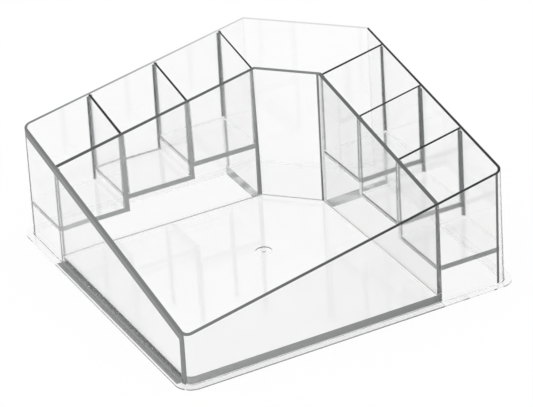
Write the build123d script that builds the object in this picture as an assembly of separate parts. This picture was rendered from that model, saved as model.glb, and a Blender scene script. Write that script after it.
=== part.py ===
"""Clear makeup organizer: a low tray, two stepped towers of cells and a corner bin under one sloped rim."""

import os
from math import cos, radians, sin, tan

from build123d import *

# Cells of each tower, in millimetres
cell_count = 3
cell_width = 41.4
cell_depth = 41.2
shelf_height = 23.9
shelf_step = 8.3

# Back bin: its straight wall beside each tower, and what the flat corner takes off each side
bin_run = 16.6
corner_leg = 56.7

# Sloped rim: its height over the near corner and over the two side corners
near_height = 31.6
side_height = 73.0

# Thickness of the outer walls at the table, the inner panels at the first shelf, the shelves, the floor
wall = 2.7
sheet = 3.0
shelf_plate = 3.2
floor_plate = 5.0

# Moulding draft: what is left of an outer wall and of an inner panel at the very top of the rim
wall_tip = 1.1
sheet_tip = 0.5

# Inside bend at the rounded corners, and the cement line between two panels
bend_inside = 3.5
bond = 0.05

# Flared foot under the outer walls, and the floor's lift off the table
foot_height = 1.2
foot_flare = 4.4
foot_lip = 0.8
floor_lift = 0.3

# Round gate well with its clipped nub, on the underside of the floor
gate_diameter = 10.0
gate_depth = 0.8
nub_diameter = 2.4
nub_height = 0.5

# Heights, the top being the sloped rim's over the corner that is cut off
rim_top = 2 * side_height - near_height
floor_top = floor_lift + floor_plate
floor_middle = floor_lift + floor_plate / 2

# How far a face leans per millimetre of height, outside the walls and on each side of an inner panel
wall_draft = (wall - wall_tip) / rim_top
panel_draft = (sheet - sheet_tip) / 2 / (rim_top - shelf_height)


def drawn_in(z):
    """How far an inner panel's drafted face stands back at a height, against the first shelf."""
    return panel_draft * (z - shelf_height)


# Plan positions, measured from the near corner along either side
pitch = cell_width + sheet
bin_face = wall + cell_count * pitch - drawn_in(floor_middle)
side = bin_face + bin_run + corner_leg
wall_face = side - wall
tower_face = wall_face - cell_depth
seam = tower_face - sheet / 2
flat_corner = side - corner_leg
half = side / 2

# Planes: the sloped rim, the mirror line of the plan, and the 45 degree turn's mitre
turn = radians(45)
slope = (side_height - near_height) / side
head_room = rim_top + sheet_tip
rim = Plane(origin=(-half, -half, near_height), z_dir=(-slope, -slope, 1))
diagonal = Plane(origin=(0, 0, 0), z_dir=(1, -1, 0))
mitre_normal = Vector(cos(turn / 2), -sin(turn / 2), 0)


def at(u, v, z=0.0):
    """Point at u, v from the near corner, in the part's centred frame."""
    return Vector(u - half, v - half, z)


def tray_face(z):
    """Drafted face of the inner walls, towards the tray."""
    return tower_face - sheet + drawn_in(z)


def divider_faces(number, z):
    """Both drafted faces of a tower's divider, of which number 0 is the end wall."""
    right = wall + number * pitch
    if number == 0:
        return 0.0, right
    return right - sheet + drawn_in(z), right - drawn_in(z)


def trimmed(solid):
    """Everything under the sloped rim."""
    return split(solid, bisect_by=rim, keep=Keep.BOTTOM)


def drafted(low, high, faces, run):
    """Panel whose two faces stand at faces(z) across X, as a section drawn out along its run in Y."""
    (low_left, low_right), (high_left, high_right) = faces(low), faces(high)
    corners = [(low_left, low), (low_right, low), (high_right, high), (high_left, high)]
    section = Plane.XZ.offset(-run[0]) * make_face(Polyline(*corners, close=True))
    return extrude(section, amount=run[1] - run[0], dir=(0, 1, 0))


def mitre(u, v, gap):
    """Mitre plane through a corner of the plan, shifted along its normal by a gap."""
    return Plane(origin=at(u, v) + mitre_normal * gap, z_dir=mitre_normal)


def mitred_ends(solid, u, v):
    """Cut a panel that spans the diagonal at the left corner u, v and at its mirror image."""
    for _ in range(2):
        solid = split(solid, bisect_by=mitre(u, v, bond / 2), keep=Keep.TOP)
        solid = mirror(solid, about=diagonal)
    return solid


def outer_wall(path):
    """Drafted wall on a flared foot, along its outer line at the table, with its outside on the right."""
    start, along = path @ 0, path % 0
    outward = along.rotate(Axis.Z, -90)
    ankle = (-wall_draft * foot_height, foot_height)
    crown = (-wall_draft * head_room, head_room)
    heel = (foot_height - foot_lip, foot_lip)
    toe = (foot_flare, foot_lip)
    outline = [
        Polyline(heel, toe, (foot_flare, 0), (-wall, 0), (-wall, head_room), crown, ankle),
        TangentArc(ankle, heel, tangent=(wall_draft, -1)),
    ]
    section = Plane(origin=start, x_dir=outward, z_dir=along * -1) * make_face(outline)
    return trimmed(sweep(section, path=path))


def bent(*corners):
    """Path through two straight runs and the outside of the bend between them."""
    return FilletPolyline(*corners, radius=bend_inside + wall)


def right_hand(solid):
    """The same piece on the other side of the plan's diagonal."""
    return mirror(solid, about=diagonal)


parts = {}

# Outer walls: the low one bent round the near corner, a tall one round each side corner, the flat corner
parts["tray_wall"] = outer_wall(bent(at(0, seam - bond / 2), at(0, 0), at(seam - bond / 2, 0)))

tall_wall = outer_wall(bent(at(flat_corner + wall, side), at(0, side), at(0, seam + bond / 2)))
tall_wall = split(tall_wall, bisect_by=mitre(flat_corner, side, -bond / 2), keep=Keep.BOTTOM)
parts["left_outer_wall"] = tall_wall
parts["right_outer_wall"] = right_hand(tall_wall)

flat_run = Line(at(side + wall, flat_corner - wall), at(flat_corner - wall, side + wall))
parts["corner_panel"] = mitred_ends(outer_wall(flat_run), flat_corner, side)

# Inner walls between tray and towers, mitred where the bin's front panel turns off at 45 degrees
inner_run = (wall + bond, bin_face + sheet)
inner_wall = drafted(floor_lift, head_room, lambda z: (tray_face(z), tower_face), inner_run)
inner_wall = right_hand(Pos(at(0, 0)) * inner_wall)
inner_wall = split(inner_wall, bisect_by=mitre(bin_face, tower_face, -bond / 2), keep=Keep.BOTTOM)
parts["left_inner_wall"] = trimmed(inner_wall)
parts["right_inner_wall"] = right_hand(parts["left_inner_wall"])

# Front of the bin, standing on the floor, with its back face through the bin's two front corners
bin_line = bin_face + tower_face
front_run = (-bin_line / 2, bin_line / 2)
front = drafted(floor_top + bond, head_room, lambda z: (tray_face(z) - tower_face, 0), front_run)
front = Pos(at(bin_line / 2, bin_line / 2)) * Rot(0, 0, 45) * front
parts["bin_front"] = trimmed(mitred_ends(front, bin_face, tower_face))

# Shelves, level, each one step above the last, the lowest one rounded into the bent corner
cell_run = (tower_face + bond, wall_face - bond)
for number in range(cell_count):
    shelf_top = shelf_height + number * shelf_step
    shelf_middle = shelf_top - shelf_plate / 2
    shelf_start = divider_faces(number, shelf_middle)[1] + bond
    shelf_end = divider_faces(number + 1, shelf_middle)[0] - bond
    shelf = drafted(shelf_top - shelf_plate, shelf_top, lambda z: (shelf_start, shelf_end), cell_run)
    shelf = Pos(at(0, 0)) * shelf
    if number == 0:
        bent_corner = shelf.edges().filter_by(Axis.Z).sort_by_distance(at(0, side))[0]
        shelf = fillet(bent_corner, radius=bend_inside - bond)
    parts[f"left_shelf_{number + 1}"] = shelf
    parts[f"right_shelf_{number + 1}"] = right_hand(shelf)

# Dividers, from the underside of the lower shelf to the rim; the last of each tower reaches the floor
for number in range(1, cell_count + 1):
    is_bin_side = number == cell_count
    lower_shelf = shelf_height + (number - 1) * shelf_step - shelf_plate
    divider_low = floor_lift if is_bin_side else lower_shelf
    divider = drafted(divider_low, head_room, lambda z: divider_faces(number, z), cell_run)
    divider = trimmed(Pos(at(0, 0)) * divider)
    name = "bin_side" if is_bin_side else f"divider_{number}"
    parts[f"left_{name}"] = divider
    parts[f"right_{name}"] = right_hand(divider)

# Floor of tray and bin in one plate, let in between the walls; the towers stay open below
tray_edge = tray_face(floor_middle)
left_edge = [
    (bin_face - (tower_face - tray_edge) * tan(turn / 2), tray_edge),
    (bin_face, tower_face),
    (bin_face, wall_face),
    (flat_corner - wall * tan(turn / 2), wall_face),
]
right_edge = [(v, u) for u, v in reversed(left_edge)]
plan_points = [(wall, wall), (wall, tray_edge), *left_edge, *right_edge, (tray_edge, wall)]
plan = make_face(Polyline(*[at(u, v) for u, v in plan_points], close=True))
near_corner = plan.vertices().sort_by_distance(at(0, 0))[0]
plan = offset(fillet(near_corner, radius=bend_inside), amount=-bond, kind=Kind.INTERSECTION)
floor = Pos(0, 0, floor_lift) * extrude(plan, amount=floor_plate, dir=(0, 0, 1))
floor -= Pos(0, 0, floor_lift) * Cylinder(
    gate_diameter / 2, gate_depth, align=(Align.CENTER, Align.CENTER, Align.MIN)
)
floor += Pos(0, 0, floor_lift + gate_depth) * Cylinder(
    nub_diameter / 2, nub_height, align=(Align.CENTER, Align.CENTER, Align.MAX)
)
parts["floor_panel"] = floor

os.makedirs("parts", exist_ok=True)
for node, solid in parts.items():
    export_step(solid, f"parts/{node}.step")
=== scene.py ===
from math import cos, pi, radians, sin

import bmesh
import bpy
from mathutils import Matrix, Vector


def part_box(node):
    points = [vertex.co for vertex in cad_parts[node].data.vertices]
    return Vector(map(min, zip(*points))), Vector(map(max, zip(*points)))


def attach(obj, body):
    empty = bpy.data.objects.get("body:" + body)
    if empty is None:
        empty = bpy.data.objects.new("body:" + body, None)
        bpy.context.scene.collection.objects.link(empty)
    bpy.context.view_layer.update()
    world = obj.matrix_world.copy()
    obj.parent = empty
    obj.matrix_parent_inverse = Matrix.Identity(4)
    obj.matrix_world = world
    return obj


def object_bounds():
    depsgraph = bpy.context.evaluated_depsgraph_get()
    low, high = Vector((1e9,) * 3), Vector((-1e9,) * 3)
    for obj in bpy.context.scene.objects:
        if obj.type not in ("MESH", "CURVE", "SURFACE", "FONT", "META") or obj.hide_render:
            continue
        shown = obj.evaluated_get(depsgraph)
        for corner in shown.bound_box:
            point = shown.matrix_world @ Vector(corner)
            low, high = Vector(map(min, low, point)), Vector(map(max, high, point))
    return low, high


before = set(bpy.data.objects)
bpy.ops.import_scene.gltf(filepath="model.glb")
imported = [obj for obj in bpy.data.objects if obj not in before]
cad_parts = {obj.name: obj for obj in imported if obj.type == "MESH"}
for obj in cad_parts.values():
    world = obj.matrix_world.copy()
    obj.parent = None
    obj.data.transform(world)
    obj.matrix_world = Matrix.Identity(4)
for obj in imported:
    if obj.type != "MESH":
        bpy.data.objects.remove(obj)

cad_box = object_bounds()

# Floor of tray and bin: one thick plate of clear acrylic, moulded through the round gate under its
# middle and let in between the walls. Its glossy skin keeps broad, faint waves from the melt, and
# wiping has left a little haze where things stand.
MM = 0.001
foot_flare = 4.4 * MM
side = cad_box[1][0] - cad_box[0][0] - 2 * foot_flare
half = side / 2
gate_reach = 6 * MM
# Painted shade on the floor plate's edges: paler at the near end of the front, darker further on and on the
# left
front_shade_near, front_shade_far = "#D6D8D8", "#969898"
left_edge_shade = "#8A8C8C"

# The least that a face looks in the direction it is said to face, and the most that an upright one
# looks up or down
square_on = 0.9
upright_within = 0.1


def linear(hex_colour):
    """An sRGB hex colour as linear red, green, blue and full alpha."""
    shares = [int(hex_colour[i:i + 2], 16) / 255 for i in (1, 3, 5)]
    return [s / 12.92 if s <= 0.04045 else ((s + 0.055) / 1.055) ** 2.4 for s in shares] + [1.0]


def add_node(tree, kind, sockets=(), **settings):
    """Add a node with its settings, and give its sockets, by name or in order, a link or a plain value.
    A node given as a value stands for its first output in use.
    """
    made = tree.nodes.new(kind)
    for name, value in settings.items():
        setattr(made, name, value)
    for socket, value in sockets.items() if isinstance(sockets, dict) else enumerate(sockets):
        if isinstance(value, bpy.types.Node):
            value = next(output for output in value.outputs if output.enabled)
        if isinstance(value, bpy.types.NodeSocket):
            tree.links.new(value, made.inputs[socket])
        else:
            made.inputs[socket].default_value = value
    return made


def clear_acrylic(name, painted_shade, wave_length, wave_height, haze, tint="#FFFFFF", bonded="XY"):
    """Moulded acrylic: water-clear and glossy, faintly wavy, with matt grey marks mixed in: painted shade
    on chosen rims and edges, standing in for the dark bands that light carried inside the panels shows
    there, and any lines of cement. The function given after the name adds, from (tree, at, facing,
    outside), the nodes for where those marks are and for their grey, and bonded names the directions that
    its cemented faces look in.
    """
    material = bpy.data.materials.new(name)
    material.use_nodes = True
    material.use_transparent_shadow = False
    tree = material.node_tree
    tree.nodes.clear()
    place = add_node(tree, "ShaderNodeTexCoord").outputs["Object"]
    seen = add_node(tree, "ShaderNodeNewGeometry").outputs
    at = add_node(tree, "ShaderNodeSeparateXYZ", [place]).outputs
    facing = add_node(tree, "ShaderNodeSeparateXYZ", [seen["True Normal"]]).outputs
    outside = add_node(tree, "ShaderNodeMath", [1.0, seen["Backfacing"]], operation="SUBTRACT")
    # The marks' painted shade: matt grey where they lie, the clear tint elsewhere
    where, grey = painted_shade(tree, at, facing, outside)
    colour = add_node(
        tree, "ShaderNodeMix", {"Factor": where, "A": linear(tint), "B": grey}, data_type="RGBA"
    )

    # Broad waves of the melt, a few hundredths of a millimetre deep
    waves = add_node(
        tree, "ShaderNodeTexNoise",
        {"Vector": place, "Scale": 1 / wave_length, "Detail": 1.0, "Roughness": 0.4},
    )
    skin = add_node(tree, "ShaderNodeBump", {"Height": waves, "Strength": 1.0, "Distance": wave_height})

    # Wipe marks, where the gloss and the clearness drop a little
    smudge_size = 25 * MM
    polished, smudged = 0.03, 0.08
    smudges = add_node(
        tree, "ShaderNodeTexNoise",
        {"Vector": place, "Scale": 1 / smudge_size, "Detail": 5.0, "Roughness": 0.65},
    )
    dull = add_node(
        tree, "ShaderNodeMapRange",
        {"Value": smudges, "From Min": 0.4, "From Max": 0.7, "To Min": polished, "To Max": smudged},
    )
    clear = add_node(
        tree, "ShaderNodeMapRange",
        {"Value": smudges, "From Min": 0.3, "From Max": 0.7, "To Min": 1 - haze / 2, "To Max": 1 - haze},
    )
    see_through = add_node(tree, "ShaderNodeMix", {"Factor": where, "A": clear, "B": 0.0})
    acrylic = add_node(tree, "ShaderNodeBsdfPrincipled", {
        "Base Color": colour, "Roughness": dull, "Normal": skin,
        "Transmission Weight": see_through, "IOR": 1.49,
    })

    # Where two panels are run together with cement there is no skin between them, only a faint grey
    joint_reach = 0.3 * MM
    shut_in = 0.25
    turned_away = 0.8
    shut = add_node(tree, "ShaderNodeAmbientOcclusion", {"Distance": joint_reach}, samples=16)
    narrow = add_node(tree, "ShaderNodeMath", [shut.outputs["AO"], shut_in], operation="LESS_THAN")
    joint = add_node(tree, "ShaderNodeMath", [narrow, where], operation="SUBTRACT", use_clamp=True)
    for direction in [axis for axis in "XYZ" if axis not in bonded]:
        aside = add_node(tree, "ShaderNodeMath", [facing[direction], 0.0, turned_away], operation="COMPARE")
        joint = add_node(tree, "ShaderNodeMath", [joint, aside], operation="MULTIPLY")
    cement = add_node(tree, "ShaderNodeBsdfTransparent", {"Color": linear("#ECEEEE")})
    surface = add_node(tree, "ShaderNodeMixShader", [joint, acrylic, cement])

    # Light that runs along a panel loses about a fifth every 10 cm
    fade = add_node(tree, "ShaderNodeVolumeAbsorption", {"Color": linear("#000000"), "Density": 2.2})
    add_node(tree, "ShaderNodeOutputMaterial", {"Surface": surface, "Volume": fade})
    return material


def dress(material, names):
    """Give a finish to panels imported from model.glb."""
    for name in names:
        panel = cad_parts[name].data
        panel.materials.clear()
        panel.materials.append(material)


def floor_edge_shade(tree, at, facing, outside):
    """Painted shade on the plate's edges towards the tray's two low walls and on the wall of the gate well,
    standing in for the dark bars that light carried in the plate shows there: darker on the left-facing
    edge and paler towards the near corner.
    """
    upright = add_node(tree, "ShaderNodeMath", [facing["Z"], 0.0, upright_within], operation="COMPARE")
    edge = add_node(tree, "ShaderNodeMath", [upright, outside], operation="MULTIPLY")
    depth = add_node(tree, "ShaderNodeMath", [at["X"], at["Y"]], operation="ADD")
    near = add_node(tree, "ShaderNodeMath", [depth, 0.0], operation="LESS_THAN")
    plan = add_node(tree, "ShaderNodeCombineXYZ", [at["X"], at["Y"]])
    from_gate = add_node(tree, "ShaderNodeVectorMath", [plan], operation="LENGTH").outputs["Value"]
    gate = add_node(tree, "ShaderNodeMath", [from_gate, gate_reach], operation="LESS_THAN")
    painted_edge = add_node(tree, "ShaderNodeMath", [near, gate], operation="MAXIMUM")
    where = add_node(tree, "ShaderNodeMath", [edge, painted_edge], operation="MULTIPLY")
    along = add_node(tree, "ShaderNodeMapRange", {"Value": at["X"], "From Min": -half, "From Max": half})
    front = add_node(
        tree, "ShaderNodeMix",
        {"Factor": along, "A": linear(front_shade_near), "B": linear(front_shade_far)}, data_type="RGBA",
    )
    leftward = add_node(tree, "ShaderNodeMath", [facing["X"], -square_on], operation="LESS_THAN")
    grey = add_node(
        tree, "ShaderNodeMix", {"Factor": leftward, "A": front, "B": linear(left_edge_shade)}, data_type="RGBA"
    )
    return where, grey


floor_acrylic = clear_acrylic(
    "moulded_acrylic_floor", floor_edge_shade, wave_length=30 * MM, wave_height=0.05 * MM, haze=0.012
)
dress(floor_acrylic, ["floor_panel"])

# Outer walls: clear acrylic bent round the corners, thicker towards a flared foot that the tray stands
# on. The low wall closes the tray, two tall walls hold the towers, and a flat panel the back corner.
# All are trimmed level with one sloped plane, and their rims carry painted shade from near black to pale
# grey, standing in for the dark bands that light carried in the walls shows. Painted bands of shade by the
# left rim, the near bend, the left foot and the tall walls' bends follow, and the left side looks thicker
# there than the others.
near_rim = 31.6 * MM
side_rim = 73.0 * MM
rim_slope = (side_rim - near_rim) / side
slope_normal = Vector((-rim_slope, -rim_slope, 1)).normalized()
along_slope = 0.998
# Painted shade: a strip under the left rim, a ledge on the left foot and a line beside each tall wall's
# bend
left_shade_strip = 4 * MM
left_ledge_shade = 3 * MM
ledge_margin = 0.3 * MM
ledge_top = 2 * MM
bend_outside = 6.2 * MM
bend_shade_line = 1.6 * MM
bend_leftward = 0.82
bend_forward = 0.03
thinnest_wall = 1.1 * MM


def rim_height(x, y):
    """Height of the sloped rim over a point of the plan."""
    return near_rim + rim_slope * (x + y + side)


def rim_shade_and_bands(left, right, bands=()):
    """Painted shade on the sloped rim, its grey running from left to right, and any bands of painted shade
    or of cement besides, each found by its own function.
    """
    def painted_shade(tree, at, facing, outside):
        normal = add_node(tree, "ShaderNodeCombineXYZ", [facing["X"], facing["Y"], facing["Z"]])
        lean = add_node(tree, "ShaderNodeVectorMath", [normal, slope_normal], operation="DOT_PRODUCT")
        lean = add_node(tree, "ShaderNodeMath", [lean.outputs["Value"]], operation="ABSOLUTE")
        where = add_node(tree, "ShaderNodeMath", [lean, along_slope], operation="GREATER_THAN")
        across = add_node(
            tree, "ShaderNodeMapRange", {"Value": at["X"], "From Min": -half, "From Max": half / 2}
        )
        grey = add_node(
            tree, "ShaderNodeMix", {"Factor": across, "A": linear(left), "B": linear(right)},
            data_type="RGBA",
        )
        for band, colour in bands:
            found = band(tree, at, facing)
            there = add_node(tree, "ShaderNodeMath", [found, outside], operation="MULTIPLY")
            grey = add_node(
                tree, "ShaderNodeMix", {"Factor": there, "A": grey, "B": linear(colour)}, data_type="RGBA"
            )
            where = add_node(tree, "ShaderNodeMath", [where, there], operation="MAXIMUM")
        return where, grey
    return painted_shade


def within_rim(tree, at, depth):
    """All that lies less than a depth under the sloped rim."""
    place = add_node(tree, "ShaderNodeCombineXYZ", [at["X"], at["Y"], at["Z"]])
    level = add_node(tree, "ShaderNodeVectorMath", [place, slope_normal], operation="DOT_PRODUCT")
    lowest = slope_normal.z * rim_height(0, 0) - depth
    return add_node(tree, "ShaderNodeMath", [level.outputs["Value"], lowest], operation="GREATER_THAN")


def shade_under_left_rim(tree, at, facing):
    """Painted shade: a strip under the rim, on the outside of the left walls."""
    high = within_rim(tree, at, left_shade_strip)
    leftward = add_node(tree, "ShaderNodeMath", [facing["X"], -square_on], operation="LESS_THAN")
    return add_node(tree, "ShaderNodeMath", [high, leftward], operation="MULTIPLY")


def shade_on_near_bend(tree, at, facing):
    """Painted shade on the left part of the bend round the near corner."""
    leftward = add_node(tree, "ShaderNodeMath", [facing["X"], -bend_leftward], operation="LESS_THAN")
    forward = add_node(tree, "ShaderNodeMath", [facing["Y"], -bend_forward], operation="LESS_THAN")
    return add_node(tree, "ShaderNodeMath", [leftward, forward], operation="MULTIPLY")


def shade_on_left_foot(tree, at, facing):
    """Painted shade on a ledge along the top of the foot, under the tray's left wall."""
    middle, reach = -half - left_ledge_shade / 2, left_ledge_shade / 2 + ledge_margin
    low = add_node(tree, "ShaderNodeMath", [at["Z"], ledge_top], operation="LESS_THAN")
    beside = add_node(tree, "ShaderNodeMath", [at["X"], middle, reach], operation="COMPARE")
    along = add_node(tree, "ShaderNodeMath", [at["Y"], bend_outside - half], operation="GREATER_THAN")
    ledge = add_node(tree, "ShaderNodeMath", [low, beside], operation="MULTIPLY")
    return add_node(tree, "ShaderNodeMath", [ledge, along], operation="MULTIPLY")


def shade_beside_bend(tree, at, facing):
    """Painted shade: a line down the outside of a tall wall, on each side of its bend."""
    apart = add_node(tree, "ShaderNodeMath", [at["X"], at["Y"]], operation="SUBTRACT")
    apart = add_node(tree, "ShaderNodeMath", [apart], operation="ABSOLUTE")
    bend_start = side - bend_outside - bend_shade_line / 2
    line = add_node(tree, "ShaderNodeMath", [apart, bend_start, bend_shade_line / 2], operation="COMPARE")
    left_right = add_node(tree, "ShaderNodeMath", [at["X"]], operation="ABSOLUTE")
    near_far = add_node(tree, "ShaderNodeMath", [at["Y"]], operation="ABSOLUTE")
    outmost = add_node(tree, "ShaderNodeMath", [left_right, near_far], operation="MAXIMUM")
    skin = add_node(tree, "ShaderNodeMath", [outmost, half - 2 * thinnest_wall], operation="GREATER_THAN")
    upright = add_node(tree, "ShaderNodeMath", [facing["Z"], 0.0, upright_within], operation="COMPARE")
    line = add_node(tree, "ShaderNodeMath", [line, skin], operation="MULTIPLY")
    return add_node(tree, "ShaderNodeMath", [line, upright], operation="MULTIPLY")


# Each wall: its tint, then the painted shade of its rim at the left and the right, and its painted bands of
# shade
outer_walls = {
    "tray_wall": ("#FAFAFA", rim_shade_and_bands("#767878", "#040404", (
        (shade_under_left_rim, "#767878"), (shade_on_near_bend, "#868888"), (shade_on_left_foot, "#A4A6A6"),
    ))),
    "left_outer_wall": ("#FDFDFD", rim_shade_and_bands("#707272", "#D8DADA", (
        (shade_under_left_rim, "#707272"), (shade_beside_bend, "#6A6C6C"),
    ))),
    "corner_panel": ("#FFFFFF", rim_shade_and_bands("#DCDCDC", "#DCDCDC")),
    "right_outer_wall": ("#FCFCFC", rim_shade_and_bands("#0C0C0C", "#0C0C0C", ((shade_beside_bend, "#6A6C6C"),))),
}
for name, (tint, painted_shade) in outer_walls.items():
    wall_acrylic = clear_acrylic(
        f"moulded_acrylic_{name}", painted_shade, wave_length=22 * MM, wave_height=0.05 * MM, haze=0.012, tint=tint
    )
    dress(wall_acrylic, [name])

# Inner walls and front of the bin: the panels of clear acrylic round the tray, drafted like the outer
# walls. They stand at the floor with a thin line of cement along the foot, and are mitred together
# where the bin's front turns off.
floor_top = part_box("floor_panel")[1].z
foot_line = 0.8 * MM
mitre_line = 0.8 * MM
half_turn = radians(22.5)
right_mitre = Vector((sin(half_turn), -cos(half_turn), 0))
along_mitre = 0.98
foot_band_grey = "#ECEEEE"
# Painted shade on the rims: darker on the inner walls than on the bin's front
inner_rim_shade = ("#464848", "#5C5E5E")
bin_front_rim_shade = ("#7A7C7C", "#7A7C7C")


def trayward_faces(tree, facing):
    """The faces that look towards the tray."""
    trayward = add_node(tree, "ShaderNodeMath", [facing["X"], facing["Y"]], operation="ADD")
    return add_node(tree, "ShaderNodeMath", [trayward, -square_on], operation="LESS_THAN")


def at_panel_foot(tree, at, facing):
    """A thin line of cement along the foot, on the side of the tray."""
    middle = floor_top + foot_line / 2
    low = add_node(tree, "ShaderNodeMath", [at["Z"], middle, foot_line / 2], operation="COMPARE")
    return add_node(tree, "ShaderNodeMath", [trayward_faces(tree, facing), low], operation="MULTIPLY")


def in_right_mitre(tree, at, facing):
    """The mitred end of the bin's front, cemented to the right inner wall, and a line of cement by it."""
    normal = add_node(tree, "ShaderNodeCombineXYZ", [facing["X"], facing["Y"], facing["Z"]])
    lean = add_node(tree, "ShaderNodeVectorMath", [normal, right_mitre], operation="DOT_PRODUCT")
    end = add_node(tree, "ShaderNodeMath", [lean.outputs["Value"], along_mitre], operation="GREATER_THAN")
    rightward = add_node(tree, "ShaderNodeMath", [at["X"], at["Y"]], operation="SUBTRACT")
    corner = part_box("right_inner_wall")[0].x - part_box("bin_front")[0].y
    line_start = corner - 2 ** 0.5 * mitre_line
    beside = add_node(tree, "ShaderNodeMath", [rightward, line_start], operation="GREATER_THAN")
    line = add_node(tree, "ShaderNodeMath", [trayward_faces(tree, facing), beside], operation="MULTIPLY")
    return add_node(tree, "ShaderNodeMath", [end, line], operation="MAXIMUM")


foot_band = (at_panel_foot, foot_band_grey)
inner_panels = {
    "left_inner_wall": ("#FFFFFF", rim_shade_and_bands(*inner_rim_shade, (foot_band,))),
    "bin_front": ("#FFFFFF", rim_shade_and_bands(*bin_front_rim_shade, (foot_band, (in_right_mitre, "#868888")))),
    "right_inner_wall": ("#F7F7F7", rim_shade_and_bands(*inner_rim_shade, (foot_band,))),
}
for name, (tint, painted_shade) in inner_panels.items():
    panel_acrylic = clear_acrylic(
        f"moulded_acrylic_{name}", painted_shade, wave_length=18 * MM, wave_height=0.04 * MM, haze=0.012, tint=tint
    )
    dress(panel_acrylic, [name])

# Dividers and sides of the bin: the clear acrylic panels across each tower, drafted on both faces and
# cemented by their ends between the inner and the outer wall.
ends_face = {"left": "Y", "right": "X"}
divider_names = {
    hand: [f"{hand}_divider_1", f"{hand}_divider_2", f"{hand}_bin_side"] for hand in ends_face
}
# Painted shade: near black on the dividers' rims and on a strip under the right bin side's rim
bin_rim_shade_strip = 0.4 * MM
bin_side_margin = 1 * MM
bin_side_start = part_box("right_bin_side")[0].y - bin_side_margin
divider_rim_shade = "#060606"


def near_end(tree, at, facing):
    """The end of a left divider that is cemented to the inner wall."""
    return add_node(tree, "ShaderNodeMath", [facing["Y"], -square_on], operation="LESS_THAN")


def shade_under_bin_rim(tree, at, facing):
    """Painted shade: a strip under the rim of the right bin side, towards its cell."""
    high = within_rim(tree, at, bin_rim_shade_strip)
    forward = add_node(tree, "ShaderNodeMath", [facing["Y"], -square_on], operation="LESS_THAN")
    on_bin_side = add_node(tree, "ShaderNodeMath", [at["Y"], bin_side_start], operation="GREATER_THAN")
    strip = add_node(tree, "ShaderNodeMath", [high, forward], operation="MULTIPLY")
    return add_node(tree, "ShaderNodeMath", [strip, on_bin_side], operation="MULTIPLY")


divider_bands = {"left": ((near_end, "#F2F4F4"),), "right": ((shade_under_bin_rim, divider_rim_shade),)}
for hand, names in divider_names.items():
    divider_acrylic = clear_acrylic(
        f"moulded_acrylic_{hand}_dividers", rim_shade_and_bands(divider_rim_shade, divider_rim_shade, divider_bands[hand]),
        wave_length=18 * MM, wave_height=0.04 * MM, haze=0.012, bonded=ends_face[hand],
    )
    dress(divider_acrylic, names)

# Shelves: six small plates of the same acrylic, one to a cell and one step above the last, let in
# between the dividers and cemented all round.
# Painted shade on the shelves' near edges, pale in the left tower and greyer in the right, and on the upper
# arris of their left edges
shelf_arris_shade = 1.5 * MM
shelf_front_shade = {"left": "#F2F4F4", "right": "#BABCBC"}
shelf_left_edge_shade = "#B0B2B2"
shelf_names = {hand: [f"{hand}_shelf_{number}" for number in (1, 2, 3)] for hand in ends_face}


def shelf_edge_shade(top, front):
    """Painted shade on a shelf's near edge and on the upper arris of its left one."""
    def painted_shade(tree, at, facing, outside):
        forward = add_node(tree, "ShaderNodeMath", [facing["Y"], -square_on], operation="LESS_THAN")
        leftward = add_node(tree, "ShaderNodeMath", [facing["X"], -square_on], operation="LESS_THAN")
        high = add_node(tree, "ShaderNodeMath", [at["Z"], top - shelf_arris_shade], operation="GREATER_THAN")
        arris = add_node(tree, "ShaderNodeMath", [leftward, high], operation="MULTIPLY")
        either = add_node(tree, "ShaderNodeMath", [forward, arris], operation="MAXIMUM")
        where = add_node(tree, "ShaderNodeMath", [either, outside], operation="MULTIPLY")
        grey = add_node(
            tree, "ShaderNodeMix",
            {"Factor": leftward, "A": linear(front), "B": linear(shelf_left_edge_shade)}, data_type="RGBA",
        )
        return where, grey
    return painted_shade


for hand, names in shelf_names.items():
    for name in names:
        shelf_acrylic = clear_acrylic(
            f"moulded_acrylic_{name}", shelf_edge_shade(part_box(name)[1].z, shelf_front_shade[hand]),
            wave_length=15 * MM, wave_height=0.03 * MM, haze=0.015, bonded=ends_face[hand],
        )
        dress(shelf_acrylic, [name])

# Cement beads: clear acrylic cement run down each inside corner, where it sets as a small hollow
# fillet between a panel's end and the wall it meets, hazier than the panels, with a painted shade of
# grey in its tint and at its ends standing in for the dark lines that light shows down the corners. One
# bead is repeated down every corner, full at the outer ends of the right dividers and thin elsewhere.
bead_radius = 1.8 * MM
full_bead, thin_bead = 1.0, 0.67
bead_skin = 0.04 * MM
bead_end_gap = 0.3 * MM
panel_draft = 0.0138
quarter_turns = {(1, 1): 0, (-1, 1): 1, (-1, -1): 2, (1, -1): 3}
bead_end_shade_grey = "#808282"
beads = []


def run_bead(corner, lean, foot, hand, quadrant, share):
    """Note one bead: from its foot up to the rim, leaning with the panel, in one quadrant of its corner.
    The right tower is the left one with X and Y exchanged, and share is the bead's part of the radius.
    """
    if hand == "right":
        corner, lean, quadrant = corner[::-1], lean[::-1], quadrant[::-1]
    top = rim_height(*corner) - 2 * bead_radius * share * rim_slope - bead_end_gap
    beads.append({
        "foot": (*corner, foot),
        "upward": Vector((*lean, 1)).normalized(),
        "height": top - foot,
        "share": share,
        "turn": quarter_turns[quadrant] * pi / 2,
    })


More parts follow.
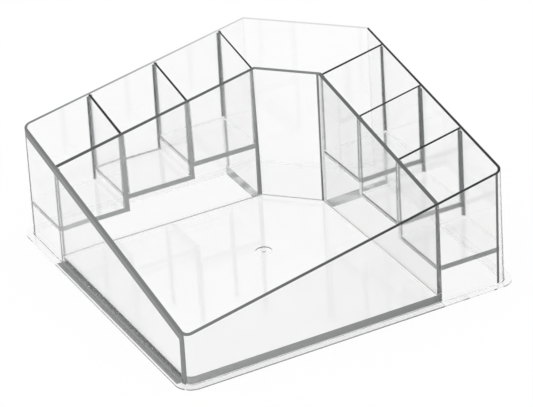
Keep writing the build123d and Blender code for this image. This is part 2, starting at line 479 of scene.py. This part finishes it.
for hand, names in divider_names.items():
    across, along = (0, 1) if hand == "left" else (1, 0)
    shelf_tops = [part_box(name)[1].z for name in shelf_names[hand]] + [floor_top]
    for number, name in enumerate(names):
        is_bin_side = name == f"{hand}_bin_side"
        outer_share = thin_bead if hand == "left" or is_bin_side else full_bead
        low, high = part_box(name)
        for face, facing in ((low[across], -1), (high[across], 1)):
            foot = shelf_tops[number + (facing > 0)] + bead_end_gap
            lean = -facing * panel_draft
            start = face + lean * (foot - low.z)
            run_bead((start, high[along]), (lean, 0), foot, hand, (facing, -1), outer_share)
            if not is_bin_side or facing < 0:
                run_bead((start, low[along]), (lean, 0), foot, hand, (facing, 1), thin_bead)

# At its near end only the left inner wall has them, one to the first cell and one to the tray
low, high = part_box("left_inner_wall")
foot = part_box("left_shelf_1")[1].z + bead_end_gap
run_bead((low.x, high.y), (0, 0), foot, "left", (1, 1), thin_bead)
foot = floor_top + bead_end_gap
start = low.y + panel_draft * (foot - low.z)
run_bead((low.x, start), (0, panel_draft), foot, "left", (1, -1), thin_bead)

# One bead of unit radius and height, with its hollow towards +X +Y
arc_steps = 8
skin = bead_skin / bead_radius
hollow_radius = 1 - 2 * skin
turns = [pi / 2 * step / arc_steps for step in range(arc_steps + 1)]
hollow = [(1 - hollow_radius * sin(turn), 1 - hollow_radius * cos(turn)) for turn in turns]
section = [(skin / 2, skin / 2), (1, skin / 2), *hollow, (skin / 2, 1)]
shape = bmesh.new()
rings = [[shape.verts.new((x, y, z)) for x, y in section] for z in (0, 1)]
for edge in range(len(section)):
    after = (edge + 1) % len(section)
    shape.faces.new((rings[0][edge], rings[0][after], rings[1][after], rings[1][edge]))
shape.faces.new(rings[0][::-1])
shape.faces.new(rings[1])
bmesh.ops.recalc_face_normals(shape, faces=shape.faces)
bead_mesh = bpy.data.meshes.new("bead_pattern")
shape.to_mesh(bead_mesh)
shape.free()
bead_pattern = bpy.data.objects.new("bead_pattern", bead_mesh)

corners_mesh = bpy.data.meshes.new("corner_beads")
corners_mesh.from_pydata([bead["foot"] for bead in beads], [], [])
for key, kind, field in (
    ("turn", "FLOAT", "value"), ("height", "FLOAT", "value"), ("share", "FLOAT", "value"),
    ("upward", "FLOAT_VECTOR", "vector"),
):
    values = corners_mesh.attributes.new(key, kind, "POINT").data
    for item, bead in zip(values, beads):
        setattr(item, field, bead[key])
corner_points = bpy.data.objects.new("corner_points", corners_mesh)
bpy.context.collection.objects.link(corner_points)


def bead_end_shade(tree, at, facing, outside):
    """Painted shade on both ends of each bead."""
    upright = add_node(tree, "ShaderNodeMath", [facing["Z"], 0.0, upright_within], operation="COMPARE")
    where = add_node(tree, "ShaderNodeMath", [1.0, upright], operation="SUBTRACT")
    return where, linear(bead_end_shade_grey)


# The cement's grey tint is painted shade; its haze is the cement's own cloudiness
bead_acrylic = clear_acrylic(
    "acrylic_cement", bead_end_shade, wave_length=6 * MM, wave_height=0.01 * MM, haze=0.35, tint="#A8AAAA"
)
bead_tree = bpy.data.node_groups.new("beads_down_corners", "GeometryNodeTree")
inputs = {
    name: bead_tree.interface.new_socket(name, in_out="INPUT", socket_type=kind)
    for name, kind in (
        ("Corners", "NodeSocketGeometry"), ("Bead", "NodeSocketObject"), ("Radius", "NodeSocketFloat"),
        ("Finish", "NodeSocketMaterial"),
    )
}
bead_tree.interface.new_socket("Beads", in_out="OUTPUT", socket_type="NodeSocketGeometry")
given = add_node(bead_tree, "NodeGroupInput").outputs
turn = add_node(bead_tree, "GeometryNodeInputNamedAttribute", {"Name": "turn"}, data_type="FLOAT")
height = add_node(bead_tree, "GeometryNodeInputNamedAttribute", {"Name": "height"}, data_type="FLOAT")
share = add_node(bead_tree, "GeometryNodeInputNamedAttribute", {"Name": "share"}, data_type="FLOAT")
upward = add_node(
    bead_tree, "GeometryNodeInputNamedAttribute", {"Name": "upward"}, data_type="FLOAT_VECTOR"
)
spun = add_node(bead_tree, "ShaderNodeCombineXYZ", {"Z": turn})
stood = add_node(
    bead_tree, "FunctionNodeAlignEulerToVector", {"Rotation": spun, "Vector": upward}, axis="Z"
)
width = add_node(bead_tree, "ShaderNodeMath", [given["Radius"], share], operation="MULTIPLY")
stretch = add_node(bead_tree, "ShaderNodeCombineXYZ", {"X": width, "Y": width, "Z": height})
pattern = add_node(bead_tree, "GeometryNodeObjectInfo", {"Object": given["Bead"]}).outputs["Geometry"]
placed = add_node(
    bead_tree, "GeometryNodeInstanceOnPoints",
    {"Points": given["Corners"], "Instance": pattern, "Rotation": stood, "Scale": stretch},
)
solid = add_node(bead_tree, "GeometryNodeRealizeInstances", {"Geometry": placed})
finished = add_node(bead_tree, "GeometryNodeSetMaterial", {"Geometry": solid, "Material": given["Finish"]})
add_node(bead_tree, "NodeGroupOutput", {"Beads": finished})

run = corner_points.modifiers.new("beads", "NODES")
run.node_group = bead_tree
run[inputs["Bead"].identifier] = bead_pattern
run[inputs["Radius"].identifier] = bead_radius
run[inputs["Finish"].identifier] = bead_acrylic
evaluated = corner_points.evaluated_get(bpy.context.evaluated_depsgraph_get())
corner_beads = bpy.data.objects.new("corner_beads", bpy.data.meshes.new_from_object(evaluated))
bpy.context.collection.objects.link(corner_beads)
bpy.data.objects.remove(corner_points)
bpy.data.objects.remove(bead_pattern)
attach(corner_beads, "root")

# Table: a plain white sweep of matt paper under and behind the organizer. The eye, mirrors and clear
# panels see it at its own white with the shadow laid over it.
sweep_size = 6.0
sweep_drop = 0.2 * MM
sweep_glow = 0.95
sweep_mesh = bpy.data.meshes.new("white_sweep")
reach = sweep_size / 2
sweep_corners = [(-reach, -reach), (reach, -reach), (reach, reach), (-reach, reach)]
sweep_mesh.from_pydata([(x, y, -sweep_drop) for x, y in sweep_corners], [], [(0, 1, 2, 3)])
sweep = bpy.data.objects.new("white_sweep", sweep_mesh)
bpy.context.collection.objects.link(sweep)
paper = bpy.data.materials.new("matt_white_paper")
paper.use_nodes = True
tree = paper.node_tree
tree.nodes.clear()
ray = add_node(tree, "ShaderNodeLightPath").outputs
mirrored = add_node(
    tree, "ShaderNodeMath", [ray["Is Camera Ray"], ray["Is Glossy Ray"]], operation="MAXIMUM"
)
seen = add_node(tree, "ShaderNodeMath", [mirrored, ray["Is Transmission Ray"]], operation="MAXIMUM")
glow = add_node(tree, "ShaderNodeEmission", {"Strength": sweep_glow})
shade = add_node(tree, "ShaderNodeBsdfDiffuse", {"Color": [1 - sweep_glow] * 3 + [1]})
shown = add_node(tree, "ShaderNodeAddShader", [glow, shade])
plain = add_node(tree, "ShaderNodeBsdfDiffuse", {"Color": linear("#E7E7E7")})
surface = add_node(tree, "ShaderNodeMixShader", [seen, plain, shown])
add_node(tree, "ShaderNodeOutputMaterial", {"Surface": surface})
sweep_mesh.materials.append(paper)

# Studio: an even white tent of light all round. Light runs a long way inside clear panels before it
# comes out, so it is followed that far.
scene = bpy.context.scene
scene.world = bpy.data.worlds.new("white_tent")
scene.world.use_nodes = True
tent = scene.world.node_tree.nodes["Background"]
tent.inputs["Color"].default_value = linear("#FFFFFF")
tent.inputs["Strength"].default_value = 1.0
scene.view_settings.view_transform = "Standard"
scene.cycles.max_bounces = 256
scene.cycles.transmission_bounces = 256
scene.cycles.glossy_bounces = 256
scene.cycles.diffuse_bounces = 4

# Camera: a long lens, to the left of the front and above, turned about the point it aims at and
# tipped a little, as in the photograph.
azimuth = radians(26.60)
elevation = radians(29.19)
roll = radians(-3.575)
distance = 1775.8 * MM
aim = Vector((2.1, -3.3, 36.5)) * MM
lens = bpy.data.cameras.new("camera")
lens.sensor_fit = "HORIZONTAL"
lens.sensor_width = 36.0
lens.lens = 204.4
camera = bpy.data.objects.new("camera", lens)
bpy.context.collection.objects.link(camera)
raised = Matrix.Rotation(pi / 2 - elevation, 4, "X")
turned = Matrix.Rotation(-azimuth, 4, "Z") @ raised @ Matrix.Rotation(roll, 4, "Z")
camera.matrix_world = Matrix.Translation(aim) @ turned @ Matrix.Translation((0, 0, distance))
scene.camera = camera
